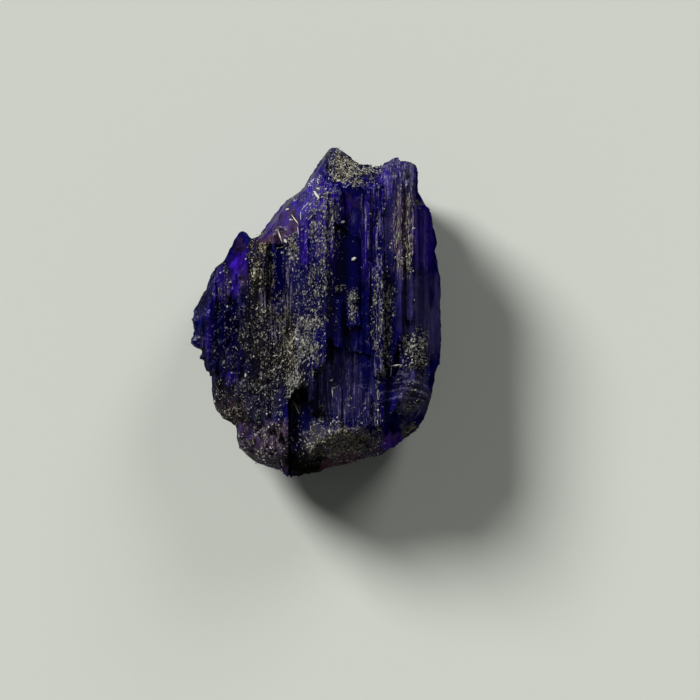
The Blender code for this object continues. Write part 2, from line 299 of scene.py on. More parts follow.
# Line along the upper left rim, which a frosted bevel with a painted edge highlight follows
BEVEL_AND_HIGHLIGHT_LINE = ((-3.08, 4.3), (-2.58, 4.95), (-1.98, 5.7), (-1.43, 6.35), (-0.7, 7.0), (-0.18, 7.8),
         (0.22, 8.45), (0.62, 9.0))

# Curved ripples on shell-like breaks: the middle of the rings, their width and depth, and where
Ripple = namedtuple("Ripple", "x y wave depth patch")
SHELL_MIDDLE = (4.7, -7.6)
RIPPLES = (
    Ripple(*SHELL_MIDDLE, 0.5, 0.06, Patch(5.3, -4.6, 1.1, 1.0, 1.0)),
    Ripple(-1.7, 3.3, 0.6, 0.05, Patch(-1.8, 5.0, 0.8, 0.9, 1.0)),
    Ripple(-4.6, -7.0, 0.55, 0.05, Patch(-4.2, -4.6, 1.3, 1.0, 1.0)),
)

# Slots of the CAD stone that dust has partly filled: how high, how deep they were, and where
FILL_DEPTH = 1.1
FILL_SHARE = 0.85
Fill = namedtuple("Fill", "level patch")
FILLS = (
    Fill(7.62, Patch(4.85, 3.6, 0.26, 4.8, 1.0)),
    Fill(6.62, Patch(-2.6, -2.6, 0.22, 3.4, 1.0)),
    Fill(7.45, Patch(4.0, -0.8, 0.45, 2.4, 1.0)),
    Fill(5.15, Patch(-5.35, -1.5, 0.5, 2.6, 1.0)),
    Fill(6.3, Patch(-2.3, 2.4, 0.6, 1.8, 0.7)),
    Fill(7.1, Patch(0.3, -6.9, 0.8, 1.0, 0.4)),
    Fill(7.45, Patch(4.0, 4.8, 0.45, 2.8, 0.9)),
    Fill(6.6, Patch(-1.0, -6.1, 0.7, 1.8, 0.9)),
    Fill(7.5, Patch(1.7, 2.6, 0.9, 2.6, 0.8)),
)

# Sprays of flakes, some of them pale flakes set as painted highlights: where, how many, length, width,
# the angle from +X, and how far it varies
Spray = namedtuple("Spray", "patch count long wide turn swing")
FLAKES_AND_HIGHLIGHTS = (
    Spray(Patch(2.3, 7.85, 1.1, 0.7, 1.0), 40, 0.36, 0.09, -42.0, 25.0),
    Spray(Patch(2.0, 8.0, 1.3, 0.85, 1.0), 110, 0.22, 0.08, 20.0, 90.0),
    Spray(Patch(1.45, 8.3, 0.3, 0.35, 1.0), 16, 0.26, 0.14, 60.0, 60.0),
    Spray(Patch(-1.35, 3.2, 0.28, 0.8, 1.0), 26, 0.26, 0.1, 75.0, 40.0),
    Spray(Patch(-1.05, -5.2, 0.25, 0.5, 1.0), 5, 0.5, 0.08, -64.0, 12.0),
    Spray(Patch(-0.9, -6.6, 0.5, 1.4, 1.0), 36, 0.22, 0.07, -60.0, 30.0),
    Spray(Patch(1.3, 1.35, 0.35, 0.2, 1.0), 12, 0.22, 0.1, 10.0, 60.0),
    Spray(Patch(1.98, 0.2, 0.3, 0.9, 1.0), 30, 0.2, 0.08, 80.0, 30.0),
    Spray(Patch(5.45, -2.15, 0.6, 0.9, 1.0), 90, 0.24, 0.12, 40.0, 80.0),
    Spray(Patch(4.5, 4.4, 0.16, 2.4, 1.0), 46, 0.5, 0.05, 90.0, 3.0),
    Spray(Patch(5.12, 4.2, 0.18, 2.3, 1.0), 56, 0.5, 0.05, 90.0, 3.0),
    Spray(Patch(3.65, -0.4, 0.5, 2.9, 1.0), 120, 0.28, 0.05, 88.0, 16.0),
    Spray(Patch(-0.3, 0.6, 1.0, 2.4, 1.0), 120, 0.22, 0.06, 60.0, 40.0),
    Spray(Patch(0.35, 4.6, 0.8, 2.0, 1.0), 90, 0.24, 0.06, 65.0, 40.0),
    Spray(Patch(1.0, 4.3, 0.5, 1.5, 1.0), 40, 0.26, 0.06, 58.0, 14.0),
    Spray(Patch(-0.75, -2.1, 0.9, 1.6, 1.0), 120, 0.26, 0.06, 60.0, 22.0),
    Spray(Patch(-1.3, -3.3, 0.35, 1.7, 1.0), 70, 0.28, 0.07, 80.0, 20.0),
    Spray(Patch(-2.6, -0.6, 1.2, 3.2, 1.0), 130, 0.22, 0.05, 75.0, 40.0),
    Spray(Patch(-3.6, -4.8, 1.7, 1.2, 1.0), 50, 0.2, 0.05, 30.0, 80.0),
    Spray(Patch(-3.0, -7.3, 1.2, 1.2, 1.0), 70, 0.2, 0.07, 30.0, 80.0),
    Spray(Patch(-2.7, -6.8, 0.4, 0.4, 1.0), 16, 0.22, 0.08, 60.0, 40.0),
    Spray(Patch(1.5, -7.2, 1.9, 0.8, 1.0), 200, 0.18, 0.06, 30.0, 80.0),
    Spray(Patch(3.43, -5.2, 0.08, 2.0, 1.0), 24, 0.4, 0.05, 90.0, 4.0),
    Spray(Patch(0.1, 4.8, 0.25, 0.2, 1.0), 12, 0.16, 0.1, 0.0, 80.0),
    # pale flakes on the ripples of the shell-like break, set where they catch the light: painted
    # highlights
    Spray(Patch(5.3, -3.87, 0.4, 0.05, 1.0), 7, 0.28, 0.06, -8.0, 18.0),
    Spray(Patch(5.35, -4.27, 0.3, 0.06, 1.0), 6, 0.26, 0.08, -5.0, 18.0),
    Spray(Patch(5.3, -5.1, 0.35, 0.25, 1.0), 9, 0.22, 0.06, -30.0, 30.0),
    Spray(Patch(4.5, -5.5, 0.4, 0.15, 1.0), 7, 0.24, 0.04, 25.0, 20.0),
    Spray(Patch(5.2, -4.5, 0.9, 1.0, 1.0), 30, 0.18, 0.05, 0.0, 80.0),
    # single flakes, and pale flakes along the rims of small breaks that stand for their highlights:
    # painted highlights
    Spray(Patch(0.05, 6.44, 0.0, 0.0, 1.0), 1, 0.82, 0.15, -39.0, 0.0),
    Spray(Patch(0.12, 6.8, 0.0, 0.0, 1.0), 1, 0.38, 0.09, -40.0, 0.0),
    Spray(Patch(0.1, 7.18, 0.0, 0.0, 1.0), 1, 0.3, 0.07, -70.0, 0.0),
    Spray(Patch(-1.16, 5.1, 0.0, 0.0, 1.0), 1, 0.8, 0.06, -57.0, 0.0),
    Spray(Patch(-0.99, 4.46, 0.0, 0.0, 1.0), 1, 0.6, 0.06, -85.0, 0.0),
    Spray(Patch(-1.57, 5.68, 0.0, 0.0, 1.0), 1, 0.22, 0.14, 20.0, 0.0),
    Spray(Patch(-2.0, 4.2, 0.0, 0.0, 1.0), 1, 0.9, 0.08, -68.0, 0.0),
    Spray(Patch(-1.68, 3.9, 0.0, 0.0, 1.0), 1, 0.3, 0.18, -50.0, 0.0),
    Spray(Patch(-2.0, 3.57, 0.0, 0.0, 1.0), 1, 0.45, 0.06, 10.0, 0.0),
    Spray(Patch(-0.63, 5.82, 0.0, 0.0, 1.0), 1, 0.65, 0.05, 48.0, 0.0),
    Spray(Patch(-0.85, 5.3, 0.0, 0.0, 1.0), 1, 0.55, 0.04, 90.0, 0.0),
    Spray(Patch(-0.3, 5.2, 0.0, 0.0, 1.0), 1, 0.5, 0.05, 50.0, 0.0),
    Spray(Patch(1.43, 4.9, 0.0, 0.0, 1.0), 1, 0.26, 0.2, 60.0, 0.0),
    Spray(Patch(2.07, 2.93, 0.0, 0.0, 1.0), 1, 0.3, 0.2, 25.0, 0.0),
    Spray(Patch(2.95, 5.4, 0.0, 0.0, 1.0), 1, 0.3, 0.08, 20.0, 0.0),
    Spray(Patch(5.82, -1.98, 0.0, 0.0, 1.0), 1, 0.26, 0.2, 10.0, 0.0),
    Spray(Patch(4.43, -2.93, 0.0, 0.0, 1.0), 1, 0.6, 0.09, 10.0, 0.0),
    Spray(Patch(4.13, -3.3, 0.0, 0.0, 1.0), 1, 0.65, 0.05, 85.0, 0.0),
    Spray(Patch(3.4, -5.4, 0.0, 0.0, 1.0), 1, 0.16, 0.12, 0.0, 0.0),
    Spray(Patch(0.9, -4.4, 0.0, 0.0, 1.0), 1, 0.7, 0.07, -85.0, 0.0),
    Spray(Patch(0.85, -3.75, 0.0, 0.0, 1.0), 1, 0.28, 0.16, 30.0, 0.0),
    Spray(Patch(-3.9, -3.5, 0.0, 0.0, 1.0), 1, 0.26, 0.12, 80.0, 0.0),
    Spray(Patch(-2.25, -2.4, 0.0, 0.0, 1.0), 1, 0.35, 0.06, 10.0, 0.0),
    Spray(Patch(-4.42, -2.0, 0.0, 0.0, 1.0), 1, 0.4, 0.05, -50.0, 0.0),
    Spray(Patch(-1.1, -5.25, 0.0, 0.0, 1.0), 1, 1.0, 0.1, -64.0, 0.0),
)


class StoneSettings(bpy.types.PropertyGroup):
    """Sizes and colours of the rough tanzanite."""

    front_detail: FloatProperty(
        name="Front detail",
        description="Longest mesh edge on the striated face",
        default=0.19 * MM,
        subtype="DISTANCE",
        unit="LENGTH",
    )
    side_detail: FloatProperty(
        name="Side detail",
        description="Longest mesh edge on the broken sides",
        default=0.3 * MM,
        subtype="DISTANCE",
        unit="LENGTH",
    )
    back_detail: FloatProperty(
        name="Back detail",
        description="Longest mesh edge on the back",
        default=0.6 * MM,
        subtype="DISTANCE",
        unit="LENGTH",
    )
    stria_depth: FloatProperty(
        name="Stria depth",
        description="Depth of the finest grooves along the crystal",
        default=0.07 * MM,
        subtype="DISTANCE",
        unit="LENGTH",
    )
    hackle_depth: FloatProperty(
        name="Hackle depth",
        description="Roughness of the broken faces",
        default=0.12 * MM,
        subtype="DISTANCE",
        unit="LENGTH",
    )
    deep_colour: FloatVectorProperty(
        name="Deep crystal",
        description="Crystal seen through its whole depth",
        default=linear("#01003C"),
        subtype="COLOR",
        min=0.0,
        max=1.0,
    )
    body_colour: FloatVectorProperty(
        name="Blue-violet crystal",
        description="Main colour of the crystal",
        default=linear("#0A0652"),
        subtype="COLOR",
        min=0.0,
        max=1.0,
    )
    # painted glow: this violet is painted where light would pass through thin crystal
    painted_glow_colour: FloatVectorProperty(
        name="Lit violet",
        description="Crystal that light passes through",
        default=linear("#2A0C84"),
        subtype="COLOR",
        min=0.0,
        max=1.0,
    )
    # milky haze of cracked crystal, which also carries a painted sheen
    haze_and_sheen_colour: FloatVectorProperty(
        name="Milky haze",
        description="Crystal clouded by fine cracks",
        default=linear("#373160"),
        subtype="COLOR",
        min=0.0,
        max=1.0,
    )
    dust_colour: FloatVectorProperty(
        name="Mineral dust",
        description="Pale dust in the grooves",
        default=linear("#403E37"),
        subtype="COLOR",
        min=0.0,
        max=1.0,
    )
    ochre_colour: FloatVectorProperty(
        name="Ochre crust",
        description="Olive and brown crust",
        default=linear("#5A4C20"),
        subtype="COLOR",
        min=0.0,
        max=1.0,
    )
    plum_colour: FloatVectorProperty(
        name="Plum tint",
        description="Brown-mauve tint of weathered and cracked faces",
        default=linear("#563846"),
        subtype="COLOR",
        min=0.0,
        max=1.0,
    )
    grime_colour: FloatVectorProperty(
        name="Grime",
        description="Dark film under the thickest dust",
        default=linear("#151310"),
        subtype="COLOR",
        min=0.0,
        max=1.0,
    )
    # painted highlights: the pale lines stand for stria edges that catch the light
    line_highlight_colour: FloatVectorProperty(
        name="Pale lines",
        description="Scratch-thin worn lines along the crystal",
        default=linear("#8C84A4"),
        subtype="COLOR",
        min=0.0,
        max=1.0,
    )
    # frosted rims, and the painted highlight along them
    frost_highlight_colour: FloatVectorProperty(
        name="Frosted bevel",
        description="Grey bruised crystal along broken rims",
        default=linear("#4A4854"),
        subtype="COLOR",
        min=0.0,
        max=1.0,
    )
    # pale grains and flakes, and the painted glints and highlights that use the same colour
    grain_and_glint_colour: FloatVectorProperty(
        name="Pale grains",
        description="Loose pale grains and flakes",
        default=linear("#C8C6BC"),
        subtype="COLOR",
        min=0.0,
        max=1.0,
    )
    cream_colour: FloatVectorProperty(
        name="Ochre grains",
        description="Pale grains and flakes in the ochre crust",
        default=linear("#B4A878"),
        subtype="COLOR",
        min=0.0,
        max=1.0,
    )
    grain_count: IntProperty(
        name="Grains",
        description="Number of loose grains on the stone, besides the larger flakes",
        default=10500,
        min=0,
    )
    floor_colour: FloatVectorProperty(
        name="Floor",
        description="Plain pale floor",
        default=linear("#DCE0D6"),
        subtype="COLOR",
        min=0.0,
        max=1.0,
    )


def ramp(value, low, high):
    """A smooth step from 0 at the low value to 1 at the high one."""
    part = min(1.0, max(0.0, (value - low) / (high - low)))
    return part * part * (3.0 - 2.0 * part)


def patch_amount(patches, x, y):
    """How strongly a table's patches cover a place on the front."""
    bare = 1.0
    for patch in patches:
        across = abs(x - patch.x) / patch.half_x
        along = abs(y - patch.y) / patch.half_y
        if across < 1.35 and along < 1.35:
            reach = (across ** 3 + along ** 3) ** (1 / 3)
            bare *= 1.0 - patch.amount * (1.0 - ramp(reach, 0.7, 1.3))
    return 1.0 - bare


def line_reach(points, x, y):
    """How far a place is from a line through points."""
    nearest = 100.0
    for (x0, y0), (x1, y1) in zip(points, points[1:]):
        long, tall = x1 - x0, y1 - y0
        part = ((x - x0) * long + (y - y0) * tall) / (long * long + tall * tall)
        part = min(1.0, max(0.0, part))
        nearest = min(nearest, math.hypot(x - x0 - part * long, y - y0 - part * tall))
    return nearest


def layer_amounts(place, normal):
    """How much of each layer lies at a place: the tables in front, and noise behind."""
    front = ramp(normal.z, -0.15, 0.2)
    ragged = noise.noise(place * 1.7)
    x = place.x + 0.16 * ragged + 0.1 * noise.noise(place * 4.1)
    y = place.y + 0.5 * noise.noise(place * 1.1 + Vector((5.0, 0.0, 0.0)))
    y += 0.3 * noise.noise(place * 3.7)
    amounts = {}
    for number, (name, patches) in enumerate(PATCHES.items()):
        amounts[name] = 0.0
        if front > 0.0:
            amounts[name] += front * patch_amount(patches, x, y)
        if front < 1.0:
            streaked = Vector((place.x * 0.8, place.y * 0.25, place.z * 0.8 + number * 7.0))
            amounts[name] += (1.0 - front) * 0.55 * ramp(noise.noise(streaked), 0.0, 0.4)
    amounts["shell"] *= ramp(normal.z, 0.2, 0.6)
    # a painted edge highlight: a grey band along the upper left rim, together with the frosted bevel
    reach = line_reach(BEVEL_AND_HIGHLIGHT_LINE, place.x, place.y) + 0.06 * noise.noise(place * 3.0)
    bevel_and_highlight = front * ramp(place.z, 2.5, 4.0) * (1.0 - ramp(reach, 0.12, 0.3))
    amounts["frost_with_highlight"] = max(amounts["frost_with_highlight"] * ramp(normal.z, 0.0, 0.4), bevel_and_highlight)
    return amounts


def bulge(vert):
    """How far a vertex stands out of its neighbours, as a slope: above 0 on edges."""
    total = 0.0
    for edge in vert.link_edges:
        way = vert.co - edge.other_vert(vert).co
        total += way.dot(vert.normal) / max(way.length, 0.01)
    return total / max(1, len(vert.link_edges))


def refine(bm, front, side, back):
    """Halve long edges until the mesh is fine: finest on the faces that look up."""
    for _ in range(9):
        long_edges = []
        for edge in bm.edges:
            length = edge.calc_length()
            if length <= front:
                continue
            up = max(face.normal.z for face in edge.link_faces)
            if length > (front if up > 0.35 else side if up > -0.3 else back):
                long_edges.append(edge)
        if not long_edges:
            break
        bmesh.ops.subdivide_edges(bm, edges=long_edges, cuts=1)
        bmesh.ops.triangulate(bm, faces=[face for face in bm.faces if len(face.verts) > 3])
        bm.normal_update()


def relief(place, normal, amounts, sharp, settings):
    """How far the surface stands out at a place, in millimetres."""
    along_grain = (1.0 - ramp(abs(normal.y), 0.25, 0.6)) * (1.0 - 0.7 * amounts["broken"])
    wide = noise.noise(Vector((place.x * 3.4, place.y * 0.12, place.z * 3.4)))
    fine = noise.noise(Vector((place.x * 9.0, place.y * 0.2, place.z * 9.0)))
    striae = settings.stria_depth / MM * (wide - abs(fine))
    # hackle: small facets, each tilted its own way
    middle = noise.voronoi(place / 0.75)[1][0]
    tilt = noise.noise_vector(middle * 3.7)
    facet = 2.4 * tilt.dot(place / 0.75 - middle)
    hackle = settings.hackle_depth / MM * (facet + 0.7 * noise.noise(place * 1.3))
    crust = amounts["dust"] * (0.035 * noise.noise(place * 5.5) + 0.03 * abs(noise.noise(place * 9.0)))
    bite = ramp(noise.noise(place * 2.6) + 0.5 * noise.noise(place * 0.9), 0.0, 0.4)
    nibble = 0.16 * ramp(sharp, 0.1, 0.35) * bite
    rings = 0.0
    for ripple in RIPPLES:
        cover = patch_amount((ripple.patch,), place.x, place.y)
        if cover > 0.0:
            reach = math.hypot(place.x - ripple.x, place.y - ripple.y) + 0.2 * noise.noise(place)
            rings += cover * ripple.depth * abs(math.sin(math.pi * reach / ripple.wave))
    return along_grain * striae + (1.0 - 0.75 * along_grain) * hackle + crust + rings - nibble


def add(tree, kind, inputs=None, **settings):
    """Add one node, set it up, and fill or link its sockets."""
    made = tree.nodes.new("ShaderNode" + kind)
    for name, value in settings.items():
        setattr(made, name, value)
    for key, value in (inputs or {}).items():
        if isinstance(value, bpy.types.NodeSocket):
            tree.links.new(value, made.inputs[key])
        else:
            made.inputs[key].default_value = value
    return made


def colour(value):
    """A colour property as the four numbers of a colour socket."""
    return (value[0], value[1], value[2], 1.0)


def crystal_material(settings):
    """Natural tanzanite, rough: glassy where freshly cleaved, hazy where cracked with a painted sheen
    on the haze, and dusty.

    Zoisite refracts strongly (IOR 1.70) and takes up red and green light, so thin edges glow violet and
    thick parts go almost black, and that violet glow is also painted into the base colour in patches.
    Crust and dust are opaque and matt.
    """
    material = bpy.data.materials.new("Rough tanzanite crystal")
    material.use_nodes = True
    tree = material.node_tree
    shader = tree.nodes["Principled BSDF"]
    finish = tree.nodes["Material Output"]
    place = add(tree, "VectorMath", {0: add(tree, "TexCoord").outputs["Object"], 3: 1000.0},
                operation="SCALE").outputs[0]
    along = add(tree, "VectorMath", {0: place, 1: (1.0, 0.05, 0.2)}, operation="MULTIPLY").outputs[0]
    flecked = add(tree, "VectorMath", {0: place, 1: (1.0, 0.6, 1.0)}, operation="MULTIPLY").outputs[0]
    layer = {name: add(tree, "Attribute", attribute_name=name).outputs["Fac"] for name in LAYERS}

    # striae every 0.1 to 0.3 mm, and hairlines 0.04 mm wide
    striae = add(tree, "TexNoise", {"Vector": along, "Scale": 5.0, "Detail": 4.0,
                                    "Roughness": 0.65}).outputs["Fac"]
    hair = add(tree, "TexNoise", {"Vector": along, "Scale": 13.0, "Detail": 2.0}).outputs["Fac"]
    # clouds in the crystal 1 to 2 mm wide, and clumps of dust half as wide
    clouds = add(tree, "TexNoise", {"Vector": flecked, "Scale": 0.8, "Detail": 3.0}).outputs["Fac"]
    clumps = add(tree, "TexNoise", {"Vector": flecked, "Scale": 1.9, "Detail": 4.0}).outputs["Fac"]
    # flecks of dust 0.05 to 0.1 mm wide, each with its own brightness
    flecks = add(tree, "TexNoise", {"Vector": flecked, "Scale": 9.5, "Detail": 3.0,
                                    "Roughness": 0.75}).outputs["Fac"]
    shards = add(tree, "TexVoronoi", {"Vector": flecked, "Scale": 14.0}).outputs["Color"]
    shard = add(tree, "SeparateColor", {0: shards}).outputs[0]
    # the brightest shards are painted pale: pale grains of dust, and painted glints
    pale_grain_and_glint = add(tree, "Math", {0: shard, 1: 2.6}, operation="POWER").outputs[0]
    # hackle on broken ground: small cells about 0.4 mm wide
    cells = add(tree, "TexVoronoi", {"Vector": place, "Scale": 2.6}).outputs["Distance"]

    # mottling of broken ground: streaky blocks 0.3 to 0.8 mm wide
    blocks = add(tree, "VectorMath", {0: place, 1: (1.0, 0.45, 1.0)}, operation="MULTIPLY").outputs[0]
    blocks = add(tree, "TexNoise", {"Vector": blocks, "Scale": 2.2, "Detail": 5.0,
                                    "Roughness": 0.65}).outputs["Fac"]
    mottle = add(tree, "MapRange", {"Value": blocks, "From Min": 0.38, "From Max": 0.62, "To Min": 0.2,
                                    "To Max": 1.5}).outputs[0]
    uneven = add(tree, "Math", {0: layer["broken"], 1: 0.6, 2: 0.4},
                 operation="MULTIPLY_ADD").outputs[0]
    mottle = add(tree, "Mix", {0: uneven, 2: 1.0, 3: mottle}).outputs[0]

    # ragged edges for the patches of each layer
    spread = {}
    for name, pattern in (("milk_with_sheen", clouds), ("plum", clumps), ("grime", blocks), ("violet", striae),
                          ("deep", striae)):
        edge = add(tree, "Math", {0: pattern, 1: 0.9, 2: layer[name]},
                   operation="MULTIPLY_ADD").outputs[0]
        spread[name] = add(tree, "MapRange", {"Value": edge, "From Min": 0.6,
                                              "From Max": 1.3}).outputs[0]

    # crystal: body colour, darker in the stria grooves as painted shade, with a painted violet glow and
    # a milky haze that carries a painted sheen
    groove_shade = add(tree, "MapRange", {"Value": striae, "From Min": 0.38, "From Max": 0.62}).outputs[0]
    body = add(tree, "Mix", {0: groove_shade, 6: colour(settings.deep_colour),
                             7: colour(settings.body_colour)}, data_type="RGBA").outputs[2]
    for name, shade in (("milk_with_sheen", settings.haze_and_sheen_colour), ("plum", settings.plum_colour),
                        ("grime", settings.grime_colour), ("deep", settings.deep_colour),
                        ("violet", settings.painted_glow_colour)):
        body = add(tree, "Mix", {0: spread[name], 6: body, 7: colour(shade)},
                   data_type="RGBA").outputs[2]
    # painted light and shade: glassy facets about 1 mm wide, each made brighter or darker as if lit its
    # own way
    facet_shade = add(tree, "VectorMath", {0: place, 1: (1.0, 0.5, 0.4)}, operation="MULTIPLY").outputs[0]
    facet_shade = add(tree, "TexVoronoi", {"Vector": facet_shade, "Scale": 1.3}).outputs["Color"]
    facet_shade = add(tree, "SeparateColor", {0: facet_shade}).outputs[0]
    facet_shade = add(tree, "MapRange", {"Value": facet_shade, "To Min": 0.3, "To Max": 1.1}).outputs[0]
    facet_shade = add(tree, "Mix", {0: layer["fresh_with_facet_shade"], 2: 1.0, 3: facet_shade}).outputs[0]
    mottle = add(tree, "Math", {0: mottle, 1: facet_shade}, operation="MULTIPLY").outputs[0]
    body = add(tree, "VectorMath", {0: body, 3: mottle}, operation="SCALE").outputs[0]

    # frosted bevels with a painted highlight along the rims, and painted highlights on rims 0.4 mm
    # apart on shell-like breaks
    body = add(tree, "Mix", {0: layer["frost_with_highlight"], 6: body, 7: colour(settings.frost_highlight_colour)},
               data_type="RGBA").outputs[2]
    away = add(tree, "VectorMath", {0: place, 1: (*SHELL_MIDDLE, 0.0)}, operation="SUBTRACT").outputs[0]
    rim_highlight = add(tree, "TexWave", {"Vector": away, "Scale": 0.7, "Distortion": 4.0, "Detail": 2.0,
                                 "Detail Scale": 1.2},
               wave_type="RINGS", rings_direction="Z").outputs["Fac"]
    rim_highlight = add(tree, "MapRange", {"Value": rim_highlight, "From Min": 0.7, "From Max": 1.0,
                                  "To Max": 0.4}).outputs[0]
    rim_highlight = add(tree, "Math", {0: rim_highlight, 1: layer["shell"]}, operation="MULTIPLY").outputs[0]

    # tilted faces have lost their gloss, but for freshly broken ones
    dull = add(tree, "MapRange", {"Value": clumps, "From Min": 0.3, "From Max": 0.5, "To Min": 0.8,
                                  "To Max": 1.0}).outputs[0]
    dull = add(tree, "Math", {0: layer["wall"], 1: dull}, operation="MULTIPLY").outputs[0]
    dull = add(tree, "Math", {0: dull, 1: add(tree, "Math", {0: 1.0, 1: layer["fresh_with_facet_shade"]},
                                              operation="SUBTRACT").outputs[0]},
               operation="MULTIPLY").outputs[0]

    # painted highlights: pale hairlines along the stria edges, broken along their length
    line_highlight = add(tree, "MapRange", {"Value": hair, "From Min": 0.54, "From Max": 0.62}).outputs[0]
    often = add(tree, "Math", {0: layer["lines"], 1: 0.9, 2: 0.02}, operation="MULTIPLY_ADD").outputs[0]
    line_highlight = add(tree, "Math", {0: line_highlight, 1: often}, operation="MULTIPLY").outputs[0]
    broken = add(tree, "MapRange", {"Value": flecks, "From Min": 0.4, "From Max": 0.56}).outputs[0]
    line_highlight = add(tree, "Math", {0: line_highlight, 1: broken}, operation="MULTIPLY").outputs[0]
    line_highlight = add(tree, "Mix", {0: spread["deep"], 2: line_highlight, 3: 0.0}).outputs[0]
    rim_highlight = add(tree, "Math", {0: rim_highlight, 1: broken}, operation="MULTIPLY").outputs[0]
    for amount in (line_highlight, rim_highlight):
        body = add(tree, "Mix", {0: amount, 6: body, 7: colour(settings.line_highlight_colour)},
                   data_type="RGBA").outputs[2]

    # dust: flecks that crowd together in clumps and along striae, and on worn edges
    laid = add(tree, "MapRange", {"Value": clumps, "From Min": 0.4, "From Max": 0.6, "To Min": 0.25,
                                  "To Max": 1.25}).outputs[0]
    laid = add(tree, "Math", {0: laid, 1: layer["dust"]}, operation="MULTIPLY").outputs[0]
    streaked = add(tree, "MapRange", {"Value": striae, "From Min": 0.35, "From Max": 0.65,
                                      "To Min": 0.6, "To Max": 1.35}).outputs[0]
    laid = add(tree, "Math", {0: laid, 1: streaked}, operation="MULTIPLY").outputs[0]
    laid = add(tree, "Math", {0: layer["worn"], 1: 0.22, 2: laid}, operation="MULTIPLY_ADD").outputs[0]
    level = add(tree, "MapRange", {"Value": laid, "To Min": 0.7, "To Max": 0.43}).outputs[0]
    above = add(tree, "Math", {0: flecks, 1: level}, operation="SUBTRACT").outputs[0]
    dusty = add(tree, "MapRange", {"Value": above, "From Max": 0.06}).outputs[0]
    pale = add(tree, "Mix", {0: layer["ochre"], 6: colour(settings.dust_colour),
                             7: colour(settings.ochre_colour)}, data_type="RGBA").outputs[2]
    patchy = add(tree, "MapRange", {"Value": shard, "To Min": 0.3, "To Max": 1.4}).outputs[0]
    pale = add(tree, "VectorMath", {0: pale, 3: patchy}, operation="SCALE").outputs[0]
    # pale grains, and painted glints on the brightest shards
    pale = add(tree, "Mix", {0: pale_grain_and_glint, 6: pale, 7: colour(settings.grain_and_glint_colour)},
               data_type="RGBA").outputs[2]
    skin = add(tree, "Mix", {0: dusty, 6: body, 7: pale}, data_type="RGBA").outputs[2]

    # gloss and clearness: glassy crystal, and matt opaque crust
    rough = add(tree, "MapRange", {"Value": spread["milk_with_sheen"], "To Min": 0.14, "To Max": 0.4}).outputs[0]
    rough = add(tree, "Mix", {0: dull, 2: rough, 3: 0.6}).outputs[0]
    rough = add(tree, "Mix", {0: dusty, 2: rough, 3: 0.85}).outputs[0]
    clear = add(tree, "MapRange", {"Value": spread["milk_with_sheen"], "To Min": 0.22, "To Max": 0.15}).outputs[0]
    clear = add(tree, "Mix", {0: spread["violet"], 2: clear, 3: 0.45}).outputs[0]
    clear = add(tree, "Mix", {0: spread["grime"], 2: clear, 3: 0.05}).outputs[0]
    clear = add(tree, "Mix", {0: dull, 2: clear, 3: 0.0}).outputs[0]
    clear = add(tree, "Mix", {0: dusty, 2: clear, 3: 0.0}).outputs[0]
    # a clear surface scatters back little light, so its colour is raised to keep it as deep
    kept = add(tree, "Math", {0: 1.0, 1: add(tree, "Math", {0: clear, 1: 0.85},
                                             operation="MULTIPLY").outputs[0]},
               operation="SUBTRACT").outputs[0]
    skin = add(tree, "VectorMath", {0: skin, 3: add(tree, "Math", {0: 1.0, 1: kept},
                                                    operation="DIVIDE").outputs[0]},
               operation="SCALE").outputs[0]

    # gloss: freshly broken crystal is glassy, and dust, haze and weathered walls aren't
    glassy = add(tree, "Mix", {0: dusty, 2: 0.18, 3: 0.0}).outputs[0]
    glassy = add(tree, "Mix", {0: dull, 2: glassy, 3: 0.0}).outputs[0]

    height = add(tree, "Math", {0: striae, 1: 1.2, 2: dusty}, operation="MULTIPLY_ADD").outputs[0]
    height = add(tree, "Math", {0: hair, 1: 0.7, 2: height}, operation="MULTIPLY_ADD").outputs[0]
    height = add(tree, "Math", {0: flecks, 1: 0.8, 2: height}, operation="MULTIPLY_ADD").outputs[0]
    cells = add(tree, "Math", {0: cells, 1: layer["broken"]}, operation="MULTIPLY").outputs[0]
    height = add(tree, "Math", {0: cells, 1: 2.5, 2: height}, operation="MULTIPLY_ADD").outputs[0]
    bump = add(tree, "Bump", {"Height": height, "Strength": 1.0, "Distance": 0.045 * MM})

    tree.links.new(skin, shader.inputs["Base Color"])
    tree.links.new(rough, shader.inputs["Roughness"])
    tree.links.new(clear, shader.inputs["Transmission Weight"])
    tree.links.new(bump.outputs[0], shader.inputs["Normal"])
    tree.links.new(glassy, shader.inputs["Coat Weight"])
    shader.inputs["Coat Roughness"].default_value = 0.1
    shader.inputs["Coat IOR"].default_value = 1.6
    shader.inputs["IOR"].default_value = 1.7
    shader.inputs["Specular IOR Level"].default_value = 0.0
    depth = add(tree, "VolumeAbsorption", {"Color": (0.5, 0.05, 0.9, 1.0), "Density": 700.0})
    tree.links.new(depth.outputs[0], finish.inputs["Volume"])
    return material


def grain_material(settings):
    """Feldspar and calcite dust in small flakes: matt and pale, from greenish grey to cream."""
    material = bpy.data.materials.new("Pale mineral grains")
    material.use_nodes = True
    tree = material.node_tree
    shader = tree.nodes["Principled BSDF"]
    amount = add(tree, "Attribute", attribute_name="pale").outputs["Fac"]
    skin = add(tree, "Mix", {0: amount, 6: colour(settings.dust_colour),
                             7: colour(settings.grain_and_glint_colour)}, data_type="RGBA").outputs[2]
    stained = add(tree, "Math", {0: add(tree, "Attribute", attribute_name="ochre").outputs["Fac"],
                                 1: 0.7}, operation="MULTIPLY").outputs[0]
    ochre = add(tree, "Mix", {0: amount, 6: colour(settings.ochre_colour),
                              7: colour(settings.cream_colour)}, data_type="RGBA").outputs[2]
    skin = add(tree, "Mix", {0: stained, 6: skin, 7: ochre}, data_type="RGBA").outputs[2]
    tree.links.new(skin, shader.inputs["Base Color"])
    shader.inputs["Roughness"].default_value = 0.6
    shader.inputs["IOR"].default_value = 1.55
    return material


